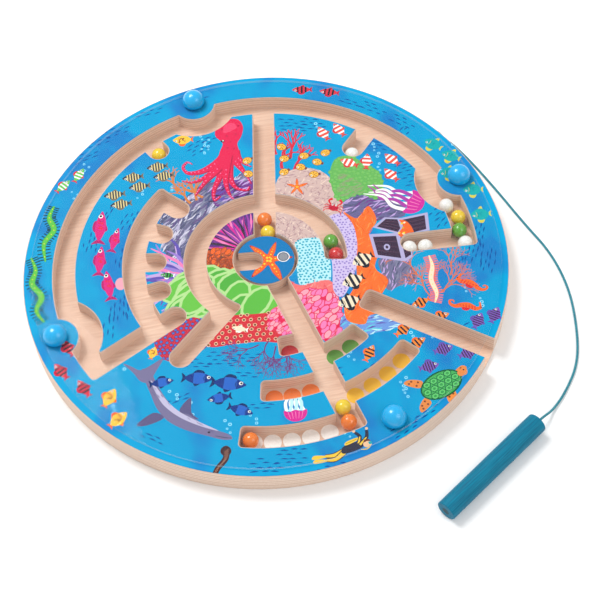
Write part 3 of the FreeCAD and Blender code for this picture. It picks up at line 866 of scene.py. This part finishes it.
def draw_left_corals(sheet):
    rng = random.Random(21)
    corals(sheet, ink(206, 122, 60), ((-44, 50, 128), (-40, 52, 100), (-36, 54, 145), (-52, 60, 95)),
        7.5, 1.9, 3, rng, 24)
    fan(sheet, -46, -8, 112, 262, 34, [LILAC, VIOLET, ink(150, 120, 200), PINK], 46, 2.0, 22)
    sheet.add(ROSE, oval(-89.5, -7.5, 3.4, 4.6))
    fish(sheet, -61, -4, 170, 8, GREEN, STRIPED, BLACK, WHITE)
    dotted(sheet, [(-66, -40), (-50, -34), (-38, -36), (-34, -50), (-44, -62), (-62, -66), (-70, -54)],
        ink(196, 40, 60), ink(60, 110, 200), 3.2, 0.85, 23, ink(120, 30, 90))
    hatched(sheet, [(-38, 28), (-30, 38), (-14, 40), (-4, 39), (-4, 18), (-18, 8), (-34, 10)],
        ink(88, 44, 120), [PURPLE], 10, 5, 1, 0, 24)
    fan(sheet, -10, 8, 62, 186, 33, [MAGENTA, PURPLE, PINK, ink(150, 60, 160), PLUM], 44, 1.7, 25, 0.06)
    stones(sheet, [(-37, 10), (-22, 11), (-15, 2), (-16, -12), (-30, -12), (-38, -6)],
        [BROWN, ORANGE, ink(214, 92, 40), ink(236, 126, 52)], 2.5, 130, 26)
    corals(sheet, ink(150, 62, 30), ((-32, -8, 70), (-26, -10, 85), (-20, -8, 100), (-34, -4, 95)),
        5.5, 1.3, 3, rng, 26)
    stones(sheet, [(-57, -18), (-46, -9), (-30, -9), (-14, -12), (2, -22), (8, -34), (4, -42), (-14, -40),
        (-34, -36), (-50, -30)], [ink(176, 216, 140), ink(92, 180, 60), ink(80, 168, 56),
        ink(104, 188, 64)], 11.5, 40, 27)
    dotted(sheet, [(-38, -44), (-26, -38), (-8, -38), (8, -38), (14, -46), (12, -60), (-6, -58),
        (-22, -58), (-38, -58)], ink(206, 44, 52), BROWN, 4.4, 0.85, 28, ink(240, 200, 160), 0.12)
    fish(sheet, -19, -47.5, 165, 9, CREAM, [], BLACK, WHITE, 0.42)
    stones(sheet, [(2, -37), (11, -35), (13, -54), (4, -52), (-2, -46)], [CRIMSON, ROSE, PINK], 2.0, 60, 29)
    corals(sheet, ink(112, 50, 112), ((-2, -58, 235), (6, -60, 280), (12, -62, 262), (-8, -60, 205),
        (2, -62, 255)), 7.2, 1.0, 4, rng, 32)


def draw_right_corals(sheet):
    rng = random.Random(31)
    corals(sheet, ink(212, 40, 58), ((16, 72, 92), (24, 70, 72), (13, 84, 100), (22, 80, 80)),
        8.5, 2.2, 3, rng, 22)
    for outline in ([(8, 38), (22, 39), (35, 28), (36, 12), (20, 8), (9, 14)], [(10, 49), (14, 66),
            (28, 71), (41, 67), (49, 55), (52, 38), (46, 26), (36, 36), (22, 44)]):
        hatched(sheet, outline, ink(206, 176, 168), [ink(160, 120, 130), ink(184, 150, 146),
            ink(232, 206, 190)], 260, 3.2, 0.55, 0, 32, 180)
    dotted(sheet, [(46, 60), (50, 75), (60, 78), (70, 70), (78, 62), (79, 50), (74, 42), (62, 46),
        (50, 42)], ink(104, 178, 84), ink(116, 186, 92), 3.0, 1.2, 33, ink(98, 170, 82), 0.4)
    hatched(sheet, [(52, 62), (60, 60), (66, 50), (62, 46), (52, 46)], None, [ink(136, 156, 108)],
        60, 5, 0.8, 20, 39)
    dotted(sheet, [(18, 8), (24, 15), (38, 12), (40, -4), (38, -20), (28, -24), (20, -20), (19, -6)],
        ink(180, 228, 234), ink(36, 160, 186), 2.3, 0.72, 34)
    salmon = [(10, -12), (20, -20), (38, -18), (41, -30), (34, -38), (18, -34)]
    hatched(sheet, salmon, SALMON, [ink(248, 150, 140), ink(220, 80, 90)], 70, 5, 0.7, 60, 35, 40)
    stones(sheet, [(17, -27), (34, -27), (42, -36), (40, -58), (34, -64), (26, -52)],
        [CRIMSON, PINK, ROSE], 3.1, 120, 36)
    dotted(sheet, [(40, 26), (50, 32), (57, 24), (59, 6), (55, -12), (46, -30), (40, -26), (41, -6)],
        ink(204, 188, 226), ink(146, 124, 194), 2.3, 0.66, 37)
    reef = [(52, 33), (60, 27), (68, 36), (72, 24), (66, 14), (70, 0), (67, -12), (74, -22), (68, -34),
        (72, -44), (60, -46), (56, -52), (46, -48), (46, -36), (54, -22), (56, -6), (58, 8), (57, 22)]
    hatched(sheet, reef, ink(240, 108, 36), [ink(222, 84, 22), ink(250, 150, 70)], 80, 6, 0.55, 70, 38, 50)
    corals(sheet, ink(214, 110, 70), ((103, -36, 95), (106, -34, 60), (98, -36, 120), (104, -34, 35),
        (112, -22, 70), (92, -20, 110)), 8.5, 1.0, 4, rng, 30)


def draw_creatures(sheet):
    octopus(sheet)
    dolphin(sheet)
    turtle(sheet)
    diver(sheet)
    jellyfish(sheet, 94, 37, -118, 17, ink(206, 40, 150), ink(168, 60, 160))
    chest(sheet)
    jellyfish(sheet, 10, -107, 180, 12, MAGENTA, ICE)
    crab(sheet, 46, 37, 6.5)
    starfish(sheet, 24.5, 56, 10, [(7, 1), (1.5, 6.5), (-5.5, 4), (-5, -4), (2, -6.5)], ORANGE, YELLOW)
    eel(sheet, [(-131, 57), (-134, 48), (-131, 38), (-137, 28), (-136, 14)], 3.6, ink(96, 190, 66), GREEN)
    eel(sheet, [(-145, 18), (-142, 8), (-144, -2), (-138, -12), (-141, -22), (-136, -31)],
        3.6, ink(96, 190, 66), GREEN)
    eel(sheet, [(101, -6), (102, -14), (100, -24), (102, -34), (100, -41)], 3.4, CREAM, SALMON)
    seahorse(sheet, 125, -31, 62, 13, ORANGE, RED)
    seahorse(sheet, 116, -45, 70, 13, ORANGE, RED, True)
    shoal(sheet, ((-101.5, 38, 83, 23), (-92.5, 27, 75, 17), (-102, 12, 84, 20), (-97, -7, 97, 20)),
        ink(214, 30, 120), [], CRIMSON, ink(176, 20, 100), 0.30, spots=5)
    shoal(sheet, ((-65, 82), (-61, 74), (-81, 75), (-77, 67), (-93, 62), (-89, 54)),
        184, 12.5, ink(58, 60, 70), FINE, ink(226, 206, 140), ink(120, 110, 90))
    for i, (x, y) in enumerate(((17, 90), (18, 80), (17, 69), (28, 72), (31, 81), (45, 82), (39, 75),
            (36, 65), (-6, 81), (-6, 70))):
        puffer(sheet, x, y, 6.2, 180 + 25 * (i % 3 - 1))
    shoal(sheet, ((45, 99, 115), (55.5, 101, 118), (59, 72.5, 150), (71, 72.5, 80), (87, 72.5, 130),
        (85, 60, 125)), 11.5, ink(232, 84, 66), CLOWN, WHITE, ink(200, 60, 60), 0.52)
    shoal(sheet, ((59.5, -5, 205), (52, -20, 200), (48, -35, 195)), 13, CREAM, CLOWN, BLACK, BLACK, 0.70)
    shoal(sheet, ((91, -40, 200), (79, -58, 35), (86, -68, 30), (57, -72, 60), (102, -51, 15)),
        11, ink(240, 132, 46), STRIPED, BLACK, ORANGE, 0.5)
    shoal(sheet, ((124, -56, 60), (134.5, -53, 60), (101, -74, 15), (91, -85, 10), (115, -78, 20)),
        11, ink(120, 84, 176), FINE, PLUM, VIOLET, 0.62)
    shoal(sheet, ((-66, -80, 6, 13), (-44.5, -79.5, -8, 17), (-26.5, -85, -12, 19), (-34, -94, 186, 13),
        (-21, -103.5, -24, 14)), ink(24, 50, 128), [(0.3, 0.7)], ink(40, 96, 190), NAVY, 0.46)
    shoal(sheet, ((-47.5, 103, 178, 12), (-97, -87, 60, 12), (-92, -102, 40, 12), (-71, -59, 70, 8)),
        ink(252, 192, 56), [], BROWN, ORANGE, 0.62, spots=9)
    shoal(sheet, ((34, 138, 175), (52, 134, 165), (-122, -50, 120), (-126, -66, 125), (-112.5, -79, 120)),
        12, ink(214, 48, 62), STRIPED, BLACK, ink(190, 30, 60), 0.5)
    shoal(sheet, ((-115, 81, 60), (-125, 73, 45)), 11, ink(104, 190, 80), STRIPED, WHITE, RED, 0.5)
    shoal(sheet, ((115, 82, 140), (125, 71, 150), (135, 42, 175), (137, 22, 180), (122, 57, 170)),
        11.5, ink(20, 168, 168), [], TEAL, ink(214, 200, 70), 0.80, spots=6)


def draw_anchor_rope(sheet):
    rope = [(-31, -128), (-32, -134), (-37, -140), (-40, -147)]
    knot = [(-34, -127), (-31, -125.5), (-28.5, -128), (-29, -131), (-32, -132.5), (-34.5, -130)]
    sheet.add(ink(70, 42, 42), ribbon(rope, [3.2, 3.6, 3.2, 3.0], 5))
    sheet.add(ink(70, 42, 42), smooth(knot))
    for x, y in smooth(rope, False, 5)[1:-1]:
        sheet.add(ink(150, 104, 84), ribbon([(x - 1.3, y - 0.9), (x + 1.2, y + 0.9)], [0.45, 0.45], 2))


def draw_water(sheet):
    dashes(sheet, [(-112, 96, 5, 22), (-92, 116, 6, 20), (-104, 108, 5, 20), (-70, 130, 4, 12),
        (-36, 140, 3, 6), (-38, 96, 7, 30), (-28, 106, 6, 20), (-84, 40, 7, 60), (-96, 50, 3, 60),
        (-108, 26, 6, 80), (-88, 12, 6, 84), (-92, -26, 9, 86), (-98, -38, 5, 84), (-84, -24, 5, 80),
        (24, 108, 9, -10), (38, 108, 7, -14), (70, 92, 6, -30), (84, 84, 5, -20), (92, 92, 6, 40),
        (86, 100, 4, -40), (80, 118, 5, -32), (98, 104, 5, -38), (66, 124, 3, -28), (96, 66, 6, 15),
        (100, 56, 7, 10), (112, 28, 5, 40), (108, 14, 4, 50), (132, 6, 6, 72), (128, -6, 8, 72),
        (136, -14, 6, 72), (118, -16, 4, 70), (82, -42, 4, 20), (108, -60, 5, 20), (60, -84, 9, 35),
        (72, -78, 6, 35), (-18, -68, 8, -4), (-32, -66, 7, -6), (-46, -68, 5, -6), (-18, -78, 4, -8),
        (-60, -92, 4, 20), (28, -142, 7, -10), (4, -134, 8, -5), (-10, -140, 6, -4), (30, -86, 8, 20),
        (16, -94, 4, 10), (-12, -100, 4, -5), (70, -124, 5, 30), (82, -116, 4, 30), (-72, -116, 3, -30)],
        41)
    bubbles(sheet, [(-34, 102, 8), (-32, 97, 5), (-76, 62, 3), (-57, 62, 4), (-22, 68, 4), (42, 106, 3),
        (60, 88, 4), (78, 82, 5), (77, 68, 3), (-108, 66, 3), (-118, 66, 3), (-110, 88, 3), (-60, -88, 3),
        (-50, -98, 4), (-30, -112, 4), (-14, -110, 4), (44, -108, 2), (96, -60, 4), (84, -62, 3),
        (74, -94, 4), (76, -100, 3), (14, -122, 3), (38, -120, 5), (46, -72, 3), (-64, -60, 3),
        (-94, -96, 4), (-88, -66, 2), (126, -42, 3), (120, -32, 2), (118, 62, 2), (128, 84, 3)], 42)


def outline_loops(cad_node):
    """Edges of a flat node's top, as closed loops in mm, the longest way round first."""
    mesh = NODES[cad_node].data
    high = max(v.co.z for v in mesh.vertices)
    cells = []
    for face in mesh.polygons:
        ring = list(face.vertices)
        if face.normal.z > 0.9 and all(abs(mesh.vertices[v].co.z - high) < 1e-6 for v in ring):
            cells.append(ring)
    loops = []
    for ring in rim_loops(cells):
        points = [(mesh.vertices[v].co.x / MM, mesh.vertices[v].co.y / MM) for v in ring]
        loops.append(points if area_of(points) > 0 else points[::-1])
    return sorted(loops, key=area_of, reverse=True)


def print_picture():
    """The undersea picture on the board, cut to the sheet's own outline and channels."""
    sheet = Sheet()
    draw_water(sheet)
    draw_rocks(sheet)
    draw_left_corals(sheet)
    draw_right_corals(sheet)
    draw_creatures(sheet)
    draw_anchor_rope(sheet)
    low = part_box("print_sheet")[0][2] / MM
    art = sheet.to_object("print_art", outline_loops("print_sheet"), SEA, low, TOP_Z - SETBACK, ART_SHIFT)
    art.data.materials.append(MATERIALS["print"])
    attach(art, "board")
    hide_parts("print_sheet")


def print_turntable():
    """The starfish on the turntable, with a pale ring round its magnet."""
    sheet = Sheet()
    starfish(sheet, 2.2, 0.3, 0, [(-10.7, 11), (5, 12), (14, 0), (6.5, -16.5), (-11, -12)], ORANGE, YELLOW)
    sheet.add(WHITE, oval(11.2, 1.2, 3.9, count=28))
    sheet.add(SLATE, oval(11.2, 1.2, 3.35, count=28))
    low, high = (corner[2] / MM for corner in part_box("turntable_print"))
    art = sheet.to_object("turntable_art", outline_loops("turntable_print"), ink(14, 116, 178), low, high)
    art.data.materials.append(MATERIALS["print"])
    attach(art, "turntable")
    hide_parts("turntable_print")


# --- painted goals
SPOT_R, SPOT_T = 5.25, 0.08  # radius and thickness of a painted spot, in mm
GOAL_FLOOR = 5.7  # height of the channels' floor, in mm
# each goal's colour: its distance from the board's middle, its spots' angles, its paint
GOALS = {"white": (123.0, (-97.4, -92.3, -87.1, -81.9, -76.6), ink(246, 242, 236)),
         "orange": (93.6, (-91.1, -84.6, -77.7), ink(238, 118, 30)),
         "yellow": (107.0, (-64.6, -58.1, -51.6, -45.1), ink(240, 186, 20)),
         "green": (78.3, (-62.1, -53.6), ink(92, 150, 44)),
         "red": (64.1, (-81.3,), ink(196, 36, 36))}


def paint_goals():
    """Painted spots in each goal, one for every ball that it takes."""
    for name, (radius, angles, colour) in GOALS.items():
        made = bmesh.new()
        for angle in angles:
            a = math.radians(angle)
            x, y, z = radius * MM * math.cos(a), radius * MM * math.sin(a), (GOAL_FLOOR + SPOT_T / 2) * MM
            place = Matrix.Translation((x, y, z))
            bmesh.ops.create_cone(made, cap_ends=True, segments=40, radius1=SPOT_R * MM,
                radius2=(SPOT_R - SPOT_T) * MM, depth=SPOT_T * MM, matrix=place)
        mesh = bpy.data.meshes.new("goal_" + name)
        made.to_mesh(mesh)
        made.free()
        spots = put_in_scene("goal_" + name, mesh)
        mesh.materials.append(paint_material("goal_paint_" + name, colour, 0.5, 0.0, 0.05))
        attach(spots, "board")


# --- cord
CORD_R = 0.75
CORD_ROUTE = [(117.19, 94.90, 8.5), (119.7, 96.9, 8.2), (122.7, 97.3, 4.6), (126.0, 94.6, 1.2),
    (130.6, 90.2, 0.8), (140.8, 73.4, 0.8), (153.8, 47.8, 0.8), (166.4, 20.6, 0.8), (179.0, -3.2, 0.8),
    (185.6, -31.6, 0.8), (184.8, -62.0, 0.8), (180.4, -86.0, 0.8), (169.0, -105.2, 0.8),
    (159.6, -116.0, 1.4), (153.4, -121.3, 5.6), (148.7, -125.2, 6.25)]


def lay_cord():
    """The free cord, as a smooth line through the CAD route's points."""
    curve = bpy.data.curves.new("cord_line", "CURVE")
    curve.dimensions, curve.bevel_depth, curve.bevel_resolution = "3D", CORD_R * MM, 5
    curve.use_fill_caps = True
    line = curve.splines.new("NURBS")
    line.points.add(len(CORD_ROUTE) - 1)
    for point, place in zip(line.points, CORD_ROUTE):
        point.co = (*(c * MM for c in place), 1)
    line.order_u, line.use_endpoint_u = 3, True
    line.resolution_u = 16
    cord = put_in_scene("cord_line", curve)
    curve.materials.append(cord_material())
    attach(cord, "board")
    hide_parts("cord")
    tuple(c * MM for c in CORD_ROUTE[0])


# --- dress the CAD pieces and light them
MATERIALS = {
    "base": plywood_material("plywood_base", 1.5, 0.0),
    "maze": plywood_material("plywood_maze", 2.1, 3.0),
    "turntable": plywood_material("plywood_turntable", 2.1, 6.0),
    "print": print_material(),
    "cover": cover_material(),
    "peg": paint_material("peg_lacquer", ink(6, 168, 226), 0.28, 0.45, 0.05),
    "white": paint_material("ball_white", ink(240, 238, 232)),
    "yellow": paint_material("ball_yellow", ink(238, 204, 30)),
    "green": paint_material("ball_green", ink(96, 164, 44)),
    "orange": paint_material("ball_orange", ink(240, 122, 22)),
    "red": paint_material("ball_red", ink(206, 42, 40)),
    "wand": stain_material("teal_wood", ink(0, 92, 122), ink(0, 126, 156), math.radians(40)),
    "magnet": metal_material("magnet", ink(150, 152, 158), 0.35),
    "dull_magnet": metal_material("dull_magnet", ink(44, 84, 98), 0.5),
    "anchor": paint_material("cord_plug", ink(20, 120, 140), 0.4, 0.2),
}
BY_NODE = {"base_board": "base", "maze_board": "maze", "turntable": "turntable", "cover": "cover",
    "wand": "wand", "print_sheet": "print", "turntable_print": "print", "turntable_magnet": "magnet",
    "wand_magnet": "dull_magnet", "cord_anchor": "anchor", "cord": "anchor"}


def dress_nodes():
    """A procedural material on every CAD piece, chosen by its name."""
    for name, piece in NODES.items():
        words = name.split("_")
        look = BY_NODE.get(name) or ("peg" if words[0] == "peg" else words[1])
        piece.data.materials.clear()
        piece.data.materials.append(MATERIALS[look])


aim_camera()
light_studio()
lay_floor()
lay_cord()
dress_nodes()
print_picture()
print_turntable()
paint_goals()
